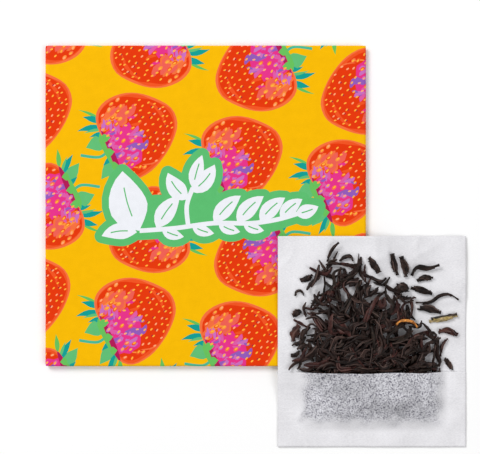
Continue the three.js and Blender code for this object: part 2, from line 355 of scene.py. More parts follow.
def leaf_outline(base, angle, length, width, bend=0.0, belly=0.42, tip=0.85, steps=6):
    """A leaf from base along angle, curving by bend; a higher tip makes a longer point."""
    def centreline(t):
        return Vector(base) + towards(angle + bend * t) * length * t

    def side(t):
        return towards(angle + 2 * bend * t).orthogonal()

    def half_width(t):
        rise = t / belly if t < belly else (1 - t) / (1 - belly)
        return width / 2 * sin(pi / 2 * max(rise, 0.0)) ** (0.85 if t < belly else tip)

    stations = [k / steps for k in range(steps + 1)]
    right = [centreline(t) - side(t) * half_width(t) for t in stations]
    left = [centreline(t) + side(t) * half_width(t) for t in reversed(stations)]
    return right[:-1] + left[:-1]


def ribbon(points, width, steps=6):
    """A line of even width through the points, with blunt ends."""
    line = []
    last = len(points) - 1
    for i in range(last):
        near = [Vector(points[min(max(i + k, 0), last)]) for k in (-1, 0, 1, 2)]
        line += [curve_point(*near, step / steps) for step in range(steps)]
    line.append(Vector(points[-1]))
    left, right = [], []
    for i, point in enumerate(line):
        along = (line[min(i + 1, len(line) - 1)] - line[max(i - 1, 0)]).normalized()
        side = along.orthogonal() * width / 2
        left.append(point + side)
        right.append(point - side)
    return right + left[::-1]


# ---- The envelope's print ----
SCREEN_INKS = {  # as red, green and blue on a screen
    "yellow": (247, 186, 0), "red": (229, 56, 8), "scarlet": (240, 84, 34), "orange": (245, 112, 62),
    "coral": (238, 96, 84), "amber": (250, 146, 60), "magenta": (230, 52, 138), "pink": (222, 92, 165),
    "lilac": (201, 112, 190), "purple": (146, 92, 184), "crimson": (176, 26, 86), "wine": (160, 30, 60),
    "seed": (255, 178, 62), "peach": (255, 170, 120), "green": (98, 190, 118), "leaf": (104, 192, 92),
    "teal": (16, 158, 148), "stalk": (74, 184, 150), "label": (93, 189, 113), "white": (238, 240, 246),
    "card": (240, 239, 236),
}
INKS = {name: linear(*screen) for name, screen in SCREEN_INKS.items()}
FRUIT_TURN = radians(21)  # how far the fruit's long axis is turned from the envelope's width
FRUIT_STEP = Vector((27.9, -6.2))  # from one fruit to the next along a row
FRUIT_DROP = Vector((-0.4, -49.0))  # from one pair of rows to the next
FRUIT_FIRST = Vector((-18.4, 18.6))  # a fruit with its stalk at the left
FRUIT_TURNED = Vector((-14.4, 42.6))  # one turned half round, in the row above
FRUIT_OUTLINE = [  # blunt at the back, where the stalk is, with a fuller upper shoulder
    (-8.8, 5.6), (-7.7, 9.4), (-4.4, 11.5), (0.2, 11.8), (4.4, 10.4), (8.2, 7.5), (11.3, 3.6),
    (11.4, -0.8), (8.8, -4.6), (5.0, -7.8), (0.4, -10.2), (-4.6, -10.7), (-7.7, -8.2), (-8.2, -3.4),
    (-8.2, 1.2),
]
FRUIT_BACK = -8.4
FRUIT_REACH = 16  # from its middle to its stalk's end


def fruit_outline(scale=1.0, wobble=0.0, lane=0.0):
    """The fruit's outline drawn in to a share of its size, by a hand that isn't quite steady."""
    drawn = []
    for x, y in FRUIT_OUTLINE:
        share = scale + wobble * wave(x, y, 3.0, lane)
        drawn.append((x * share, y * share))
    return spline(drawn)


def inside_fruit(x, y, share):
    """Whether a point lies in the fruit's outline drawn in to a share of its size."""
    x, y = x / share, y / share
    crossings = 0
    for (ax, ay), (bx, by) in zip(FRUIT_OUTLINE, FRUIT_OUTLINE[1:] + FRUIT_OUTLINE[:1]):
        if (ay > y) != (by > y) and x < ax + (bx - ax) * (y - ay) / (by - ay):
            crossings += 1
    return crossings % 2 == 1


def calyx_art():
    """The leaves and the stalk behind the fruit; each leaf's root is a height on the fruit's back."""
    art = []
    for root, heading, length, width, bend, ink in (
        (7.2, 124, 6.6, 0.8, 0.20, "leaf"), (6.4, 134, 5.4, 1.7, 0.15, "teal"),
        (4.8, 148, 7.2, 1.7, 0.30, "teal"), (4.4, 154, 5.6, 0.8, 0.26, "green"),
        (3.6, 164, 4.6, 1.1, 0.20, "teal"), (1.4, 170, 6.4, 4.2, 0.12, "green"),
        (2.2, 150, 3.4, 0.9, 0.0, "teal"), (-4.0, 212, 6.6, 3.3, 0.0, "green"),
        (-2.6, 204, 4.2, 1.4, 0.0, "teal"), (-6.0, 228, 6.4, 1.7, -0.12, "teal"),
        (-6.4, 236, 5.0, 0.8, -0.1, "green"), (-8.0, 248, 5.2, 1.3, 0.1, "leaf"),
    ):
        start = (FRUIT_BACK + 1.2, root)
        outline = leaf_outline(start, radians(heading), length, width, bend, 0.45, 1.25)
        art.append((outline, ink))
    art.append((ribbon([(-8.0, -1.0), (-11.2, -1.8), (-15.6, 0.4)], 0.75), "stalk"))
    heart = [(-9.7, 2.4), (-8.2, 4.2), (-7.0, 0.5), (-7.0, -4.0), (-8.6, -5.4), (-9.4, -2.0)]
    art.append((spline(heart, 2), "leaf"))
    return art


PATCH_CORNERS = 19  # of the ragged pink patch


def blush_art(draw):
    """Orange strokes on the fruit's upper back, and a ragged pink patch with strokes brushed over it."""
    art = []
    for _ in range(26):
        place = draw.gauss(-4.4, 1.9), draw.gauss(6.3, 1.7)
        heading = draw.gauss(0.55, 0.3)
        size = draw.uniform(0.6, 1.2)
        ink = draw.choice(("orange", "orange", "orange", "amber", "scarlet", "coral"))
        if inside_fruit(*place, 0.86):
            art.append((ellipse(place, heading, 2.0 * size, 0.75 * size, bend=0.2), ink))
    patch = []
    for k in range(PATCH_CORNERS):
        turn = tau * k / PATCH_CORNERS
        reach = draw.uniform(0.78, 1.12)
        x, y = -3.9 + 5.6 * reach * cos(turn), -2.0 + 6.6 * reach * sin(turn)
        while not inside_fruit(x, y, 0.97):
            x, y = 0.97 * x, 0.97 * y
        patch.append((x, y))
    art.append((spline(patch, 2), "magenta"))
    for ink, count, length, width in (
        ("pink", 11, 1.7, 0.6), ("purple", 7, 1.5, 0.85), ("lilac", 9, 1.4, 0.5),
        ("magenta", 5, 1.8, 0.45), ("purple", 6, 1.2, 0.5), ("scarlet", 4, 1.5, 0.4),
    ):
        for _ in range(count):
            place = draw.uniform(-7.6, 1.8), draw.gauss(-1.4, 4.4)
            heading = draw.gauss(0.05, 0.35)
            size = draw.uniform(0.6, 1.25)
            if inside_fruit(*place, 0.86):
                art.append((ellipse(place, heading, length * size, width * size, bend=0.3), ink))
    for k in range(6):
        place = (-7.7 + 0.8 * k, 5.6 - 0.35 * k + draw.uniform(-0.6, 0.6))
        heading = radians(62 + 5 * k)
        ink = "pink" if k % 3 == 2 else "lilac"
        length, width = draw.uniform(1.3, 2.1), draw.uniform(0.26, 0.5)
        art.append((ellipse(place, heading, length, width, bend=0.15), ink))
    return art


RINGS_ABOVE = ("amber", "orange", "scarlet")  # inks round the seeds on the upper back
RINGS_BELOW = ("pink", "scarlet", "lilac", "magenta", "orange")


def seed_art(draw):
    """Rows of seeds, softly ringed towards the fruit's back, smaller and crisp towards its tip."""
    art = []
    for row in range(12):
        x = -7.3 + 2.0 * row - 0.03 * row * row
        for k in range(-6, 7):
            y = (k + (0.5 if row % 2 else 0)) * (2.5 - 0.09 * row)
            place = (x + draw.uniform(-0.4, 0.4) - 0.012 * y * y, y + draw.uniform(-0.3, 0.3))
            heading = draw.gauss(0.3, 0.2)
            accent, pale = draw.random(), draw.random() < 0.3
            shade = draw.choice(RINGS_ABOVE if y > 4 else RINGS_BELOW)
            if not inside_fruit(*place, 0.92):
                continue
            size = 0.54 - 0.014 * row
            if x < 1.5 and accent < 0.6:
                ring = (place[0] - 0.12, place[1] - 0.1)
                art.append((ellipse(ring, heading, size * 1.5, size * 0.95), shade))
            elif x > 2.5 and accent < 0.3:
                beside = (place[0] - 0.3, place[1] + 0.2)
                art.append((ellipse(beside, heading, 0.7 * size, 0.5 * size, 6), "wine"))
            art.append((ellipse(place, heading, size, size * 0.5, 6), "peach" if pale else "seed"))
    return art


def fruit_art():
    """One fruit as (outline, ink) from the bottom of the print up, about its middle."""
    draw = random.Random(SEED)
    art = calyx_art()
    art.append((fruit_outline(), "orange"))
    art.append((fruit_outline(0.955, 0.05, 1.0), "scarlet"))
    art.append((fruit_outline(0.915, 0.07, 5.0), "red"))
    for _ in range(16):  # brushed streaks round the edge
        turn = draw.uniform(-2.2, 2.4)
        reach = draw.uniform(0.78, 0.95)
        place = (10.4 * cos(turn) * reach, 10.6 * sin(turn) * reach)
        heading = turn + pi / 2 + draw.uniform(-0.25, 0.25)
        ink = draw.choice(("scarlet", "orange", "red", "amber"))
        if inside_fruit(*place, 0.95):
            length, width = draw.uniform(1.0, 2.6), draw.uniform(0.16, 0.4)
            art.append((ellipse(place, heading, length, width, bend=0.2), ink))
    art += blush_art(draw)
    shade = [
        (-8.3, 4.6), (-7.5, 2.6), (-7.0, -1.5), (-6.9, -5.0), (-7.3, -8.6), (-8.2, -6.6), (-8.3, -1.0),
    ]
    art.append((spline(shade, 2), "crimson"))
    for root, length in ((2.6, 2.6), (-1.4, 2.2), (-5.2, 2.0)):
        outline = leaf_outline((-9.0, root), radians(-14), length, 2.2, 0.0, 0.35, 1.3)
        art.append((outline, "leaf"))
    return art + seed_art(draw)


LABEL_MARGIN = 1.9  # how far the label's green stands out round its white sprig
SPRIG_STEM = 1.2
SPRIG_VEIN = 0.32


def grown(outline):
    """A convex or gently hollow outline moved out by the label's margin, rounded at its corners."""
    outline = anticlockwise(outline)
    made = []
    for before, point, after in zip(outline[-1:] + outline[:-1], outline, outline[1:] + outline[:1]):
        first, last = point - before, after - point
        start = atan2(-first.x, first.y)
        turn = (atan2(-last.x, last.y) - start + pi) % tau - pi
        steps = max(1, ceil(turn / 0.35))
        for step in range(steps):
            made.append(point + towards(start + turn * (step + 0.5) / steps) * LABEL_MARGIN)
    return made


def label_art():
    """A plain green label with a bold white sprig of tea on it, as (outline, ink)."""
    stem = [(-17.5, -6.6), (-8, -5.9), (2, -4.6), (12, -4.6), (19, -3.6), (24.6, -2.0)]
    spray = [(-4.6, -5.4), (-5.0, 0.0), (-3.4, 4.8)]
    leaves = [  # where each starts, then its heading in degrees, length, width and bend
        (-17.6, -6.6, 120, 16.4, 10.2, -0.25), (-18.2, -7.0, 166, 9.4, 4.4, 0.35),
        (-13.0, -6.0, 66, 10.6, 5.0, -0.2), (-11.6, -6.1, -34, 6.2, 3.1, 0.25),
        (2.2, -4.6, 60, 10.2, 4.5, -0.25), (-3.6, -5.2, -34, 6.2, 3.1, 0.25),
        (8.4, -4.6, 60, 10.0, 4.5, -0.25), (3.4, -4.6, -36, 6.2, 3.1, 0.25),
        (14.4, -4.2, 58, 9.2, 4.3, -0.25), (10.0, -4.6, -34, 5.8, 3.0, 0.25),
        (19.8, -3.4, 56, 7.8, 3.9, -0.25), (23.8, -2.2, 10, 6.4, 3.8, 0.15),
        (-4.6, 1.8, 148, 8.8, 4.8, -0.35), (-4.0, 3.8, 28, 9.6, 4.8, 0.35),
        (-3.4, 4.6, 80, 9.2, 3.8, -0.1),
    ]
    white = [ribbon(stem, SPRIG_STEM), ribbon(spray, SPRIG_STEM)]
    veins = []
    for x, y, angle, length, width, bend in leaves:
        turn = radians(angle)
        white.append(leaf_outline((x, y), turn, length, width, bend, steps=8))
        middles = [Vector((x, y)) + towards(turn + bend * t) * length * t for t in (0.26, 0.5, 0.74)]
        veins.append(ribbon(middles, SPRIG_VEIN, 3))
    fillers = [
        ellipse((-13, -2.5), 0.1, 7, 5.5, 24), ellipse((5, -3.0), 0.03, 20, 5.5, 32),
        ellipse((-3.0, 1.5), 1.5, 8, 6.0, 24),
    ]
    green = fillers + [grown(outline) for outline in white]
    art = [(outline, "label") for outline in green] + [(outline, "white") for outline in white]
    return art + [(vein, "label") for vein in veins]


# ---- The envelope: one folded, glued sheet of card ----
CARD = 0.3
BACK_Z = 0.4  # underside of the back panel
CLOSING_FLAP = 24.0
GLUE_FLAP = 12.0
FLAP_SPLAY = 5.0
GLUE_LINE = 0.04  # between a glued flap and the back panel
FOLD_STEPS = 8
PANEL_DIP = 0.11
NET_STEP = 3.5  # between the points that let its panels bend
HALF = (env_high.x - env_low.x) / 2
FACE_Z = env_high.z
LEFT_RADIUS = FACE_Z / 2
SPINE_RADIUS = (FACE_Z - BACK_Z) / 2
SIDE_RADIUS = (FACE_Z - BACK_Z - CARD - GLUE_LINE) / 2
LEFT_LINE = -HALF + LEFT_RADIUS  # where each fold starts, on the printed side
SPINE_LINE = HALF - SPINE_RADIUS
SIDE_LINE = HALF - SIDE_RADIUS


def curled(past, radius, inset):
    """How far out and down a point moves that is past a fold line, measured over the printed side."""
    turn = min(past / radius, pi)
    straight = past - turn * radius
    return (radius - inset) * sin(turn) - straight, (radius - inset) * (1 - cos(turn))


def panel_rise(u, v):
    """The front panel isn't quite flat: inside its edges it dips by about a tenth of a millimetre."""
    fade = smooth((HALF - 1 - abs(u)) / 8) * smooth((HALF - 1 - abs(v)) / 8)
    return PANEL_DIP * fade * (wave(u, v, 21) - 0.7)


def folded(u, v, inset):
    """A point of the flat net, folded up; inset is how deep it lies under the printed side."""
    x, y, z = u, v, FACE_Z - inset + panel_rise(u, v)
    if u < LEFT_LINE:
        out, down = curled(LEFT_LINE - u, LEFT_RADIUS, inset)
        x, z = LEFT_LINE - out, z - down
    elif u > SPINE_LINE:
        out, down = curled(u - SPINE_LINE, SPINE_RADIUS, inset)
        x, z = SPINE_LINE + out, z - down
    if abs(v) > SIDE_LINE:
        out, down = curled(abs(v) - SIDE_LINE, SIDE_RADIUS, inset)
        y, z = copysign(SIDE_LINE + out, v), z - down
    return x, y, z


FLAP_END = LEFT_LINE - pi * LEFT_RADIUS - CLOSING_FLAP
BACK_END = SPINE_LINE + pi * SPINE_RADIUS + SPINE_LINE - LEFT_LINE - 1
SIDE_BEND = SIDE_LINE + pi * SIDE_RADIUS
SIDE_END = SIDE_BEND + GLUE_FLAP
CORNER = 2.5  # rounding of the closing flap's free corners
CORNER_STEPS = 6
EAR_TURN = 1.1  # how far the front panel's corners curve round, both ways, to close the corner


def net_outline():
    """The sheet of card before it is folded, with the printed side up."""
    flap = SIDE_LINE - FLAP_SPLAY
    ear_v = SIDE_LINE + EAR_TURN * SIDE_RADIUS
    spine_ear = SPINE_LINE + EAR_TURN * SPINE_RADIUS
    left_ear = LEFT_LINE - EAR_TURN * LEFT_RADIUS
    upper = [
        (BACK_END, SIDE_LINE), (spine_ear, SIDE_LINE), (spine_ear, ear_v), (-LEFT_LINE, ear_v),
        (-LEFT_LINE, SIDE_BEND), (-LEFT_LINE - FLAP_SPLAY, SIDE_END),
        (LEFT_LINE + FLAP_SPLAY, SIDE_END), (LEFT_LINE, SIDE_BEND),
        (LEFT_LINE, ear_v), (left_ear, ear_v), (left_ear, SIDE_LINE),
        (LEFT_LINE - pi * LEFT_RADIUS, SIDE_LINE),
    ]
    for k in range(CORNER_STEPS):
        turn = pi / 2 * (k + 0.5) / CORNER_STEPS
        upper.append((FLAP_END + CORNER * (1 - sin(turn)), flap - CORNER * (1 - cos(turn))))
    return [Vector(p) for p in upper + [(u, -v) for u, v in reversed(upper)]]


def fold_lines():
    """Lines of the net that the card bends along, as pairs of ends."""
    lines = []
    for k in range(FOLD_STEPS + 1):
        turn = pi * k / FOLD_STEPS
        for u in (LEFT_LINE - LEFT_RADIUS * turn, SPINE_LINE + SPINE_RADIUS * turn):
            lines.append(((u, -SIDE_LINE), (u, SIDE_LINE)))
        for v in (SIDE_LINE + SIDE_RADIUS * turn, -SIDE_LINE - SIDE_RADIUS * turn):
            lines.append(((LEFT_LINE, v), (-LEFT_LINE, v)))
    return lines


def printed(u, v):
    """Whether the fruit print reaches this point of the net: the front and its four folds."""
    in_width = LEFT_LINE - pi * LEFT_RADIUS < u < SPINE_LINE + pi * SPINE_RADIUS
    return in_width and abs(v) < SIDE_BEND


def print_art():
    """The whole print as (outline, ink), placed on the net."""
    placed = []
    fruit = fruit_art()
    for first, turn in ((FRUIT_FIRST, FRUIT_TURN), (FRUIT_TURNED, FRUIT_TURN + pi)):
        for column in range(-2, 3):
            for row in range(-1, 3):
                centre = first + column * FRUIT_STEP + row * FRUIT_DROP
                if max(abs(centre.x), abs(centre.y)) > HALF + FRUIT_REACH:
                    continue
                along = towards(turn)
                side = along.orthogonal()
                for outline, ink in fruit:
                    points = [centre + along * p.x + side * p.y for p in outline]
                    if any(printed(*p) for p in points):
                        placed.append((points, ink))
    return placed + label_art()


def flat_net(art):
    """The net cut along every outline of the print: its points, its triangles and their inks."""
    points, edges, faces = [], [], []
    for outline, _ in art:
        faces.append(list(range(len(points), len(points) + len(outline))))
        points.extend(anticlockwise(outline))
    for ends in fold_lines():
        edges.append((len(points), len(points) + 1))
        points.extend(Vector(end) for end in ends)
    for u in np.arange(FLAP_END + 2, BACK_END, NET_STEP):
        for v in np.arange(-SIDE_END + 2, SIDE_END, NET_STEP):
            points.append(Vector((u + 0.01 * (v % 2), v)))
    flat, _, triangles, _, _, sources = delaunay_2d_cdt(points, edges, faces, 0, 1e-5)

    kept, inks = [], []
    for triangle, source in zip(triangles, sources):
        if 0 in source:
            middle = sum((flat[i] for i in triangle), Vector((0, 0))) / 3
            kept.append(triangle)
            inks.append(INKS[art[max(source)][1]] if printed(*middle) else INKS["yellow"])
    used = sorted({i for triangle in kept for i in triangle})
    index = {old: new for new, old in enumerate(used)}
    return [flat[i] for i in used], [tuple(index[i] for i in triangle) for triangle in kept], inks


def open_edges(triangles):
    """The edges that only one triangle has, each as it runs round that triangle."""
    single = {}
    for triangle in triangles:
        for a, b in zip(triangle, triangle[1:] + triangle[:1]):
            single[(a, b)] = (b, a) not in single
            if (b, a) in single:
                single[(b, a)] = False
    return [edge for edge, alone in single.items() if alone]


def make_envelope():
    flat, front, inks = flat_net([(net_outline(), "yellow")] + print_art())
    rim = open_edges(front)
    count = len(flat)
    vertices = [folded(*p, 0.0) for p in flat] + [folded(*p, CARD) for p in flat]
    faces = front + [tuple(i + count for i in reversed(triangle)) for triangle in front]
    faces += [(b, a, a + count, b + count) for a, b in rim]
    piece = make_piece(
        "envelope_card", vertices, faces, envelope_uv(flat, front, len(rim)), env_centre,
        card_material(), ["envelope"],
    )
    bare = 3 * len(front) + 4 * len(rim)
    colours = [ink for ink in inks for _ in range(3)] + [INKS["card"]] * bare
    store_colours(piece.data, "Ink", "CORNER", colours)
    sharpen_rim(piece.data, rim, count)


def envelope_uv(flat, front, rim_count):
    """The printed side at the bottom of the map, the inner side above it and the rim at the top."""
    span = BACK_END - FLAP_END + 2

    def chart(i, size, rise):
        u, v = flat[i]
        return (u - FLAP_END + 1) / span * size, (v + SIDE_END + 1) / span * size + rise

    uv = [chart(i, 1, 0) for triangle in front for i in triangle]
    uv += [chart(i, 0.7, 0.6) for triangle in front for i in reversed(triangle)]
    for k in range(rim_count):
        left = 0.02 + 0.9 * k / rim_count
        right = left + 0.8 / rim_count
        uv += [(right, 0.995), (left, 0.995), (left, 0.999), (right, 0.999)]
    return uv


def sharpen_rim(mesh, rim, count):
    """Keeps the cut edge of the card crisp under smooth shading."""
    border = {frozenset(edge) for edge in rim} | {frozenset((a + count, b + count)) for a, b in rim}
    for edge in mesh.edges:
        edge.use_edge_sharp = frozenset(edge.vertices) in border


# ---- The bag's shape, over its own plan ----
BAG_HALF_X = (bag_high.x - bag_low.x) / 2
BAG_HALF_Y = (bag_high.y - bag_low.y) / 2
PAPER = 0.12  # each ply of the solid
PLY = 0.8 * PAPER  # and of the mesh
GAP = 0.3  # under the bag
TEA_GAP = 0.25  # over the tea, under the upper ply
SEAL_GAP = 0.02  # between the plies in a seal
RIB_HEIGHT = 0.035
RIB_STEP = 1.35
SIDE_SEAL = 5.0
END_SEAL = 4.0
CUT_Y = -8.0  # where the upper ply ends
SAG_RUN = 12.0  # how far past the envelope's edge the bag reaches the floor
TEA_DEPTH = 4.5
CHAMBER_HALF = BAG_HALF_X - SIDE_SEAL
CHAMBER_END = -BAG_HALF_Y + END_SEAL
PAPER_STEP = 0.45
PAPER_COLUMNS = round(2 * BAG_HALF_X / PAPER_STEP) + 1


def crumple(x, y):
    """Soft creases of handled filter paper, from 0 up, flatter in the seals."""
    broad = 0.5 + 0.5 * wave(x, y, 17, 3.0)
    crease = max(0.0, 1 - 3.2 * abs(wave(x, y, 15, 8.0)))
    second = max(0.0, 1 - 3.6 * abs(wave(y, x, 11, 14.0)))
    loose = smooth((y + 2) / 18) * 0.75 + 0.25
    return loose * (0.55 * broad + 0.42 * crease ** 2 + 0.26 * second ** 2)


def rest(x, y):
    """Height of the bag's underside: on the envelope's corner, sagging to the floor past it."""
    past_side = max(x + bag_centre.x - env_high.x, 0.0)
    past_end = max(env_low.y - y - bag_centre.y, 0.0)
    lowered = smooth(hypot(past_side, past_end) / SAG_RUN)
    return (FACE_Z + GAP) * (1 - lowered) + crumple(x, y)


def tea_depth(x, y):
    """How deep the tea lies under the upper ply."""
    share = max(0.0, 1 - abs(x / CHAMBER_HALF) ** 2.5)
    return TEA_DEPTH * share * smooth((y - CHAMBER_END) / 9)


def seal_ribs(x, y):
    """The fine ribs that the heat seal presses into the paper."""
    if y < CHAMBER_END:
        return RIB_HEIGHT * cos(tau * x / RIB_STEP)
    if abs(x) > CHAMBER_HALF and y < CUT_Y:
        return RIB_HEIGHT * cos(tau * y / RIB_STEP)
    return 0.0


def lower_height(x, y):
    """Height of the lower ply's underside."""
    return rest(x, y) + seal_ribs(x, y)


def behind_paper(x, y):
    """How much tea lies against the upper ply, from 0 to 1, fading out at the seals."""
    ragged = 1.5 * wave(x, y, 3.0, 31.0)
    sides = smooth((CHAMBER_HALF - 0.4 - abs(x) + ragged) / 3.2)
    return sides * smooth((y - CHAMBER_END - 1.2 + ragged) / 4)


def arch(x, y):
    """Height of the upper ply's underside."""
    base = rest(x, y) + PAPER
    if abs(x) > CHAMBER_HALF or y < CHAMBER_END:
        return base + SEAL_GAP + seal_ribs(x, y)
    full = smooth((CHAMBER_HALF - abs(x)) / 3.5) * smooth((y - CHAMBER_END) / 3.5)
    lumps = 0.18 * (1 + wave(x, y, 3.1, 40.0)) + 0.12 * (1 + wave(x, y, 1.6, 44.0))
    gathers = 0.2 * (1 + wave(x * 3, y, 6, 50.0)) * smooth(1 - (y - CHAMBER_END) / 9)
    lip = 0.3 * smooth((y - CUT_Y + 1.2) / 1.2)
    return base + SEAL_GAP + tea_depth(x, y) + full * (TEA_GAP + lumps + gathers + lip)


def cut_edge(x):
    """Where the upper ply was cut off: nearly straight."""
    return CUT_Y + 0.3 * wave(x, 0, 9, 60.0) + 0.12 * wave(x, 0, 2.4, 61.0)


def ply(rows, far, height):
    """A sheet of paper from the sealed end out to y = far(x), as points, faces and map.

    height(x, y) is its underside.
    """
    points, faces, uv = [], [], []
    for i in range(PAPER_COLUMNS):
        x = -BAG_HALF_X + 2 * BAG_HALF_X * i / (PAPER_COLUMNS - 1)
        for j in range(rows):
            y = -BAG_HALF_Y + (far(x) + BAG_HALF_Y) * j / (rows - 1)
            low = height(x, y)
            points += [(x, y, low), (x, y, low + PLY)]

    def under(i, j):
        return 2 * (i * rows + j)

    def add(corners, chart):
        faces.append(corners)
        uv.extend(chart)

    last = PAPER_COLUMNS - 1
    for i in range(last):
        for j in range(rows - 1):
            cell = [(i, j), (i + 1, j), (i + 1, j + 1), (i, j + 1)]
            a, b, c, d = (under(*corner) for corner in cell)
            add((a + 1, b + 1, c + 1, d + 1), [(u / PAPER_COLUMNS, v / rows) for u, v in cell])
            add((d, c, b, a), [(1 + u / PAPER_COLUMNS, v / rows) for u, v in reversed(cell)])
    border = [(i, 0) for i in range(last)] + [(last, j) for j in range(rows - 1)]
    border += [(i, rows - 1) for i in range(last, 0, -1)] + [(0, j) for j in range(rows - 1, 0, -1)]
    for here, there in zip(border, border[1:] + border[:1]):
        a, b = under(*here), under(*there)
        add((a, b, b + 1, a + 1), [(2.0, 0.0), (2.001, 0.0), (2.001, 0.001), (2.0, 0.001)])
    return points, faces, uv


def make_filter_bag():
    """The bag's two plies, the lower one at the bottom of the map."""
    long_rows = round(2 * BAG_HALF_Y / PAPER_STEP) + 1
    short_rows = round((CUT_Y + BAG_HALF_Y) / PAPER_STEP) + 1
    lower, lower_faces, lower_uv = ply(long_rows, lambda x: BAG_HALF_Y, lower_height)
    upper, upper_faces, upper_uv = ply(short_rows, cut_edge, arch)
    uv = [(u * 0.45, v * 0.6) for u, v in lower_uv] + [(u * 0.45, 0.65 + v * 0.3) for u, v in upper_uv]
    piece = make_piece(
        "filter_paper", lower + upper,
        lower_faces + [tuple(i + len(lower) for i in face) for face in upper_faces],
        uv, bag_centre, filter_material(), ["filter_bag"],
    )
    tea = [0.0] * len(lower) + [behind_paper(x, y) for x, y, _ in upper]
    store_values(piece.data, "Tea", tea)


# ---- The tea ----
CELL = 0.25  # of the height map that the leaves are laid on
CORNERS = 9  # round a strand
STRAND_STEPS = 11
RINGS = 9  # along the path of a leaf in the heap
EDGE_LIFT = 0.3  # how far the free edge of a rolled leaf stands out, as a share of its radius
FOOT = 1.0  # how far the heap's foot spreads past the bed's edge
FOOT_START = 1.5  # how far from the cut that begins
FOOT_DEPTH = 1.3
FOOT_RADIUS = 0.55  # of the widest leaf in it
CLEAR_CELLS = 2  # kept free of the heap round a single leaf
HIGH = 50.0  # over the whole part
DOWN = Vector((0, 0, -1))


class Pile:
    """Strands of dried leaf gathered into one mesh."""

    def __init__(self):
        self.vertices, self.faces, self.ridges, self.tints, self.charts = [], [], [], [], []
        self.seams = []  # whether each face is a torn end, or the step along a strand's free edge

    def add_strand(self, rings, flat, tints, draw):
        """A strip rolled up through rings of (centre, half-width), its free edge winding round it."""
        first, second = draw.uniform(0, 6.3), draw.uniform(0, 6.3)
        turn = draw.gauss(0, 2.4)
        groove = draw.uniform(0.12, 0.36)
        start, last = len(self.vertices), len(rings) - 1
        for s, (centre, width) in enumerate(rings):
            side, up = across(rings[max(s - 1, 0)][0], rings[min(s + 1, last)][0])
            twist = second + 0.6 * turn * s / last
            for r in range(CORNERS):
                angle = tau * r / CORNERS
                lobe = 1 + groove * cos(2 * angle + first + 0.4 * turn * s / last)
                spiral = 1 + EDGE_LIFT * (r / (CORNERS - 1) - 0.5)
                reach = width * lobe * spiral * draw.uniform(0.88, 1.12)
                lean = cos(angle + twist), sin(angle + twist)
                self.vertices.append(centre + side * lean[0] * reach + up * lean[1] * reach * flat)
                # The free edge carries the full painted highlight and the lobes a weaker one.
                ridge = 1.0 if r == CORNERS - 1 else 0.7 * min(max((lobe - 0.9) / 0.45, 0.0), 1.0)
                self.ridges.append(ridge if r else 0.0)
                share = smooth(0.5 + 1.7 * wave(0.35 * s, cos(angle), 1.2, first))
                self.tints.append([a + (b - a) * share for a, b in zip(*tints)])
        chart = []
        for s in range(last):
            for r in range(CORNERS):
                a, b = s * CORNERS + r, s * CORNERS + (r + 1) % CORNERS
                self.faces.append(tuple(start + i for i in (a, b, b + CORNERS, a + CORNERS)))
                self.seams.append(r == CORNERS - 1)
                corners = ((r, s), (r + 1, s), (r + 1, s + 1), (r, s + 1))
                chart += [(u / CORNERS, 0.85 * v / last) for u, v in corners]
        tail = range(start, start + CORNERS)
        head = range(start + last * CORNERS, start + (last + 1) * CORNERS)
        self.faces += [tuple(reversed(tail)), tuple(head)]
        self.seams += [True, True]
        for middle in (0.25, 0.75):
            for r in range(CORNERS):
                angle = tau * r / CORNERS
                chart.append((middle + 0.06 * cos(angle), 0.93 + 0.06 * sin(angle)))
        self.charts.append(chart)

    def add_leaf(self, rings, strands, flat, tints, draw, uneven=0.15, blunt=0.3):
        """A dried leaf: strands of uneven length wound round each other along the rings.

        tints holds a pair of colours for each strand, taken in turn. uneven is how much of its length
        a strand may lack at each end, and blunt how wide the torn ends are at least, both from 0 to 1.
        """
        twist = draw.choice((-1, 1)) * draw.uniform(1.0, 3.6)
        phase = draw.uniform(0, tau)
        for k in range(strands):
            begin, end = (draw.uniform(0, uneven), 1 - draw.uniform(0, uneven)) if k else (0, 1)
            share_of_width, share_of_offset = (0.66, 0.4) if strands > 1 else (0.9, 0)
            thick = share_of_width * draw.uniform(0.85, 1.15)
            torn = [draw.uniform(blunt, min(1.6 * blunt, 1)) for _ in range(2)]
            wound = []
            for s in range(STRAND_STEPS + 1):
                share = s / STRAND_STEPS
                t = begin + (end - begin) * share
                centre, width = along_rings(rings, t)
                side, up = across(
                    along_rings(rings, max(t - 0.04, 0))[0], along_rings(rings, min(t + 0.04, 1))[0]
                )
                around = phase + tau * k / strands + twist * t
                offset = (side * cos(around) + up * sin(around) * flat) * width
                body = max(
                    sin(pi * share) ** 0.45,
                    torn[0] * (1 - 3 * share), torn[1] * (3 * share - 2), 0.12,
                )
                body *= 1 + 0.35 * wave(6 * share, k, 1.0, phase)
                wound.append((centre + offset * share_of_offset, width * thick * body))
            self.add_strand(wound, flat, tints[k % len(tints)], draw)

    def rest_on_paper(self, lowered):
        """Keeps the strands out of the paper; lowered lets the whole pile down on to it first."""
        ground = [lower_height(p.x, p.y) + PLY for p in self.vertices]
        drop = min(p.z - level for p, level in zip(self.vertices, ground)) if lowered else 0.0
        for point, level in zip(self.vertices, ground):
            point.z = max(point.z - drop, level + 0.01)

    def uv(self):
        """Each strand has its own cell of the map."""
        side = ceil(sqrt(len(self.charts)))
        return [
            ((n % side + 0.05 + 0.9 * u) / side, (n // side + 0.05 + 0.9 * v) / side)
            for n, chart in enumerate(self.charts) for u, v in chart
        ]

    def make(self, name, material, node):
        piece = make_piece(
            name, self.vertices, self.faces, self.uv(), bag_centre, material, [node]
        )
        piece.data.polygons.foreach_set("use_smooth", [not seam for seam in self.seams])
        store_colours(piece.data, "Tint", "POINT", self.tints)
        # How strongly each point carries the painted highlight along the ridges.
        store_values(piece.data, "RidgeHighlight", self.ridges)


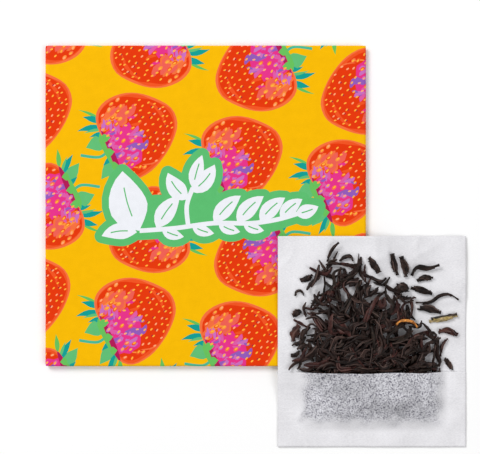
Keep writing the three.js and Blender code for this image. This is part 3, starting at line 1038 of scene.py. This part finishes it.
def across(before, after):
    """The level and the upward directions across a line that runs from before to after."""
    ahead = after - before
    side = Vector((-ahead.y, ahead.x, 0)).normalized()
    return side, ahead.cross(side).normalized()


def along_rings(rings, t):
    """Centre and half-width at a share t of the way along the rings."""
    place = t * (len(rings) - 1)
    i = min(int(place), len(rings) - 2)
    near = [rings[min(max(i + k, 0), len(rings) - 1)][0] for k in (-1, 0, 1, 2)]
    u = place - i
    return curve_point(*near, u), rings[i][1] * (1 - u) + rings[i + 1][1] * u


def bvh_of(node):
    mesh = frame["nodes"][node].data
    return BVHTree.FromPolygons([v.co for v in mesh.vertices], [p.vertices for p in mesh.polygons])


class Heap:
    """The heap's height, cell by cell over the bag's plan, as leaves fall on it."""

    def __init__(self, bed, singles):
        self.columns = int(2 * BAG_HALF_X / CELL)
        self.rows = int(2 * BAG_HALF_Y / CELL)
        self.ground = np.zeros((self.columns, self.rows))
        self.target = np.full_like(self.ground, -1.0)  # how high it is to be, or -1 past it
        self.taken = np.zeros_like(self.ground, dtype=bool)  # by the single leaves
        for i in range(self.columns):
            for j in range(self.rows):
                x, y = self.place(i, j)
                self.ground[i, j] = rest(x, y) + PAPER
                above = Vector((bag_centre.x + x, bag_centre.y + y, HIGH)) * MM
                hit = bed.ray_cast(above, DOWN)[0]
                if hit:
                    self.target[i, j] = hit.z / MM
                if any(single.ray_cast(above, DOWN)[0] for single in singles):
                    first = max(i - CLEAR_CELLS, 0), max(j - CLEAR_CELLS, 0)
                    self.taken[first[0]:i + CLEAR_CELLS + 1, first[1]:j + CLEAR_CELLS + 1] = True
        self.height = self.ground.copy()
        self.foot = self.round_the_bed()
        self.target[self.foot] = self.ground[self.foot] + FOOT_DEPTH
        self.target[self.taken] = -1.0
        self.ceiling = self.target.max() + 0.1  # over every leaf

    def place(self, i, j):
        """The middle of a cell."""
        return -BAG_HALF_X + (i + 0.5) * CELL, -BAG_HALF_Y + (j + 0.5) * CELL

    def round_the_bed(self):
        """The cells past the bed's edge that the heap's foot spreads over, beyond the cut."""
        reach = int(FOOT / CELL)
        steps = range(-reach, reach + 1)
        near = [(a, b) for a in steps for b in steps if hypot(a, b) <= reach]
        foot = np.zeros_like(self.taken)
        for i, j in zip(*np.nonzero(self.target > 0)):
            if self.place(i, j)[1] <= CUT_Y:
                continue
            for a, b in near:
                beyond = self.place(i, j + b)[1] > CUT_Y + FOOT_START
                if beyond and self.target[i + a, j + b] < 0:
                    foot[i + a, j + b] = True
        return foot

    def cell(self, x, y):
        i = min(max(int((x + BAG_HALF_X) / CELL), 0), self.columns - 1)
        j = min(max(int((y + BAG_HALF_Y) / CELL), 0), self.rows - 1)
        return i, j

    def room(self, x, y):
        """How much the heap still has to grow here."""
        i, j = self.cell(x, y)
        return self.target[i, j] - self.height[i, j]

    def lay(self, rings):
        """Raises the heap under a leaf that has come to lie on it."""
        for centre, radius in rings:
            i, j = self.cell(centre.x, centre.y)
            reach = max(1, round(radius * 0.8 / CELL))
            i0, i1 = max(i - reach + 1, 0), min(i + reach, self.columns)
            j0, j1 = max(j - reach + 1, 0), min(j + reach, self.rows)
            patch = self.height[i0:i1, j0:j1]
            np.maximum(patch, centre.z + 0.6 * radius, out=patch)


def bent_line(draw, centre, heading, length):
    """A leaf's plan: a line of points through centre, curving, with one sharper kink."""
    bend = draw.gauss(0, 0.35)
    kink, place = draw.gauss(0, 0.5), draw.uniform(-0.3, 0.3)
    points, x, y = [], 0.0, 0.0
    for s in range(RINGS):
        t = s / (RINGS - 1) - 0.5
        turn = heading + bend * 2 * t + kink * tanh(9 * (t - place))
        points.append((x, y))
        x += cos(turn) * length / (RINGS - 1)
        y += sin(turn) * length / (RINGS - 1)
    middle = points[RINGS // 2]
    return [(centre[0] + px - middle[0], centre[1] + py - middle[1]) for px, py in points]


def settle(heap, plan, radius, draw):
    """Lets a leaf down on the heap, as rings: a slope over the higher points under it."""
    under = np.array([heap.height[heap.cell(x, y)] for x, y in plan])
    ground = np.array([heap.ground[heap.cell(x, y)] for x, y in plan])
    steps = np.linspace(-1, 1, RINGS)
    slope = np.polyfit(steps, under, 1)[0]
    reach = dist(plan[0], plan[-1]) / 2
    slope = min(max(slope, -0.6 * reach), 0.6 * reach)
    line = slope * steps + under.mean()
    line += 0.62 * max(under - line) + 0.7 * radius
    line += max(draw.gauss(0, 0.35), 0.0) * (steps ** 2 - 0.3)
    line = np.maximum(line, ground + 0.8 * radius)
    return [(Vector((x, y, z)), radius) for (x, y), z in zip(plan, line)]


MAX_MISSES = 2500  # in a row, before the heap is full
TRIES = 12  # places looked at for each leaf, of which the emptiest is taken
LEAST_ROOM = 0.12  # under the heap's surface, where a leaf is laid
PROUD = 0.5  # how far a leaf's middle stands out of the heap at most
UNDER_PLY = CUT_Y + 0.6  # a leaf that comes this far in has to lie under the upper ply
HIDDEN_PROUD = 0.1  # how far its top may then stand out
RINGS_OUT = 4  # how many of a leaf's rings may lie past the heap
LEAF_KINDS = [  # half-width, length, share of its width that it is thick, strands, how often
    (0.34, 6.8, 1.0, 1, 2), (0.46, 6.8, 0.9, 1, 4), (0.6, 6.2, 0.8, 1, 5), (0.76, 5.8, 0.7, 2, 3),
    (0.95, 5.2, 0.6, 2, 2),
]
BURIED_KIND = (1.0, 7.0, 0.8, 1)  # under the upper ply, further in than the opening shows
BURIED = 4.0  # how far in that is
WELLS = [  # places kept open down to the paper, more or less: x, y and radius
    (-14.2, 15.6, 0.75), (-11.3, 16.2, 0.6), (-5.5, 14.0, 0.95), (-10.3, 10.6, 0.6), (-16.8, 5.6, 0.5),
    (-0.6, 11.2, 0.6), (2.6, 14.0, 0.6), (4.2, 9.6, 0.75), (7.6, 2.7, 1.1), (12.2, 2.8, 0.7),
    (7.2, -1.6, 0.6), (15.0, -4.1, 0.8),
]
CHINKS = 26  # smaller ones, strewn past CHINK_Y
CHINK_Y = 1.0
CHINK_RADIUS = (0.35, 0.65)
STEM_PLAN = [(6.2, 4.8), (7.5, 5.7), (9.1, 5.8), (10.7, 5.3), (11.8, 4.0)]  # of the golden stem
STEM_RADIUS = 0.5
STEM_LIFT = 0.3  # of its middle over the leaves
STEM_TINTS = tint_pairs((228, 152, 76, 164, 96, 40))
BLACK_TINTS = tint_pairs(
    (24, 13, 10, 40, 26, 22), (30, 18, 15, 52, 36, 32), (20, 11, 9, 34, 22, 19), (34, 21, 18, 60, 43, 38),
    (46, 22, 20, 70, 38, 34), (27, 19, 15, 46, 35, 29), (26, 15, 13, 44, 29, 26),
)


def refused(heap, plan, rings, wells):
    """Whether a settled leaf lies past the heap, over a single leaf or a well, or stands out too far."""
    radius = rings[0][1]
    hidden = any(y < UNDER_PLY for _, y in plan)
    covered = [(ring, heap.target[heap.cell(*place)]) for ring, place in zip(rings, plan)]
    proud = max((z + radius - top for ((_, _, z), _), top in covered if top > 0), default=inf)
    return (
        sum(top < 0 for _, top in covered) > (0 if hidden else RINGS_OUT)
        or proud > (HIDDEN_PROUD if hidden else PROUD + radius)
        or max(z for (_, _, z), _ in rings) + radius > heap.ceiling
        or any(heap.taken[heap.cell(*place)] for place in plan)
        or any(dist(place, well[:2]) < well[2] + radius / 2 for place in plan for well in wells)
    )


def make_heap(material, singles):
    draw = random.Random(SEED + 1)
    heap = Heap(bvh_of("tea_bed"), [bvh_of(node) for node in singles])
    inside = [heap.place(i, j) for i, j in zip(*np.nonzero(heap.target > 0))]
    kinds = [kind for *kind, often in LEAF_KINDS for _ in range(often)]
    outer = [place for place in inside if place[1] > CHINK_Y]
    wells = WELLS + [(*draw.choice(outer), draw.uniform(*CHINK_RADIUS)) for _ in range(CHINKS)]
    pile = Pile()
    missed = 0
    while missed < MAX_MISSES:
        centre = max((draw.choice(inside) for _ in range(TRIES)), key=lambda p: heap.room(*p))
        buried = centre[1] < CUT_Y - BURIED
        radius, length, flat, strands = BURIED_KIND if buried else draw.choice(kinds)
        if heap.foot[heap.cell(*centre)]:
            radius, strands = min(radius, FOOT_RADIUS), 1
        radius *= draw.uniform(0.85, 1.15)
        length *= draw.uniform(0.6, 1.35)
        heading = 0.8 + 2.2 * wave(*centre, 9, 70.0) + draw.gauss(0, 0.6)
        plan = bent_line(draw, centre, heading, length)
        rings = settle(heap, plan, radius, draw)
        if heap.room(*centre) < LEAST_ROOM or refused(heap, plan, rings, wells):
            missed += 1
            continue
        missed = 0
        heap.lay(rings)
        pile.add_leaf(rings, strands, flat * draw.uniform(0.8, 1.1), [draw.choice(BLACK_TINTS)], draw)

    lifts = [heap.height[heap.cell(x, y)] + STEM_RADIUS for x, y in STEM_PLAN]
    crest = max(lifts[1:-1])
    stem = [
        (Vector((x, y, max(lift, crest + STEM_LIFT - STEM_LIFT * abs(k - 2)))), STEM_RADIUS)
        for k, ((x, y), lift) in enumerate(zip(STEM_PLAN, lifts))
    ]
    pile.add_leaf(stem, 1, 0.85, STEM_TINTS, draw, 0, 0.8)
    pile.rest_on_paper(False)
    pile.make("loose_tea", material, "tea_bed")


SINGLE_TINTS = {
    "black_tea": tint_pairs((22, 14, 12, 48, 34, 29), (30, 20, 17, 56, 41, 35)),
    "brown_tea": tint_pairs((50, 24, 22, 84, 48, 40), (36, 20, 18, 62, 36, 31)),
    "pale_tip": tint_pairs((192, 170, 128, 150, 130, 74), (40, 35, 30, 64, 56, 44)),
}
LEAST_WIDTH = 0.85  # of a single leaf near its ends, as a share of its greatest


def sliver_rings(node):
    """A CAD sliver from tip to tip as rings of (centre, half-width), in mm, and its flatness."""
    body = bmesh.new()
    body.from_mesh(frame["nodes"][node].data)
    bmesh.ops.remove_doubles(body, verts=body.verts, dist=1e-6)
    points = [vertex.co / MM for vertex in body.verts]
    spread = [max((a - b).length for b in points) for a in points]
    layer = {spread.index(max(spread))}
    body.verts.ensure_lookup_table()
    seen, rings, heights = set(layer), [], []
    while layer:
        ring = [points[i] for i in layer]
        middle = sum(ring, Vector()) / len(ring)
        rings.append((middle, max((p - middle).length for p in ring)))
        heights.append(max(p.z - middle.z for p in ring))
        layer = {
            edge.other_vert(body.verts[i]).index for i in layer for edge in body.verts[i].link_edges
        } - seen
        seen |= layer
    body.free()
    return rings, max(heights) / max(width for _, width in rings)


def make_single(node, slot, material, number):
    """One loose leaf along its CAD sliver."""
    draw = random.Random(SEED + 10 + number)
    rings, flat = sliver_rings(node)
    plan_centre = Vector((bag_centre.x, bag_centre.y, 0))
    least = LEAST_WIDTH * max(width for _, width in rings)
    rings = [(centre - plan_centre, max(width, least)) for centre, width in rings]
    leaf = Pile()
    leaf.add_leaf(rings, 3, flat, SINGLE_TINTS[slot], draw, 0.22, 0.8)
    leaf.rest_on_paper(True)
    leaf.make(node + "_dried", material, node)


def main():
    make_camera()
    make_studio()
    make_envelope()
    make_filter_bag()
    tea = tea_material()
    slots = {part["node"]: part["material_slot"] for part in frame["record"]["subparts"]}
    leaves = [node for node in sorted(frame["nodes"]) if slots[node] in SINGLE_TINTS]
    singles = [node for node in leaves if node != "tea_bed"]
    make_heap(tea, singles)
    for number, node in enumerate(singles):
        make_single(node, slots[node], tea, number)


main()
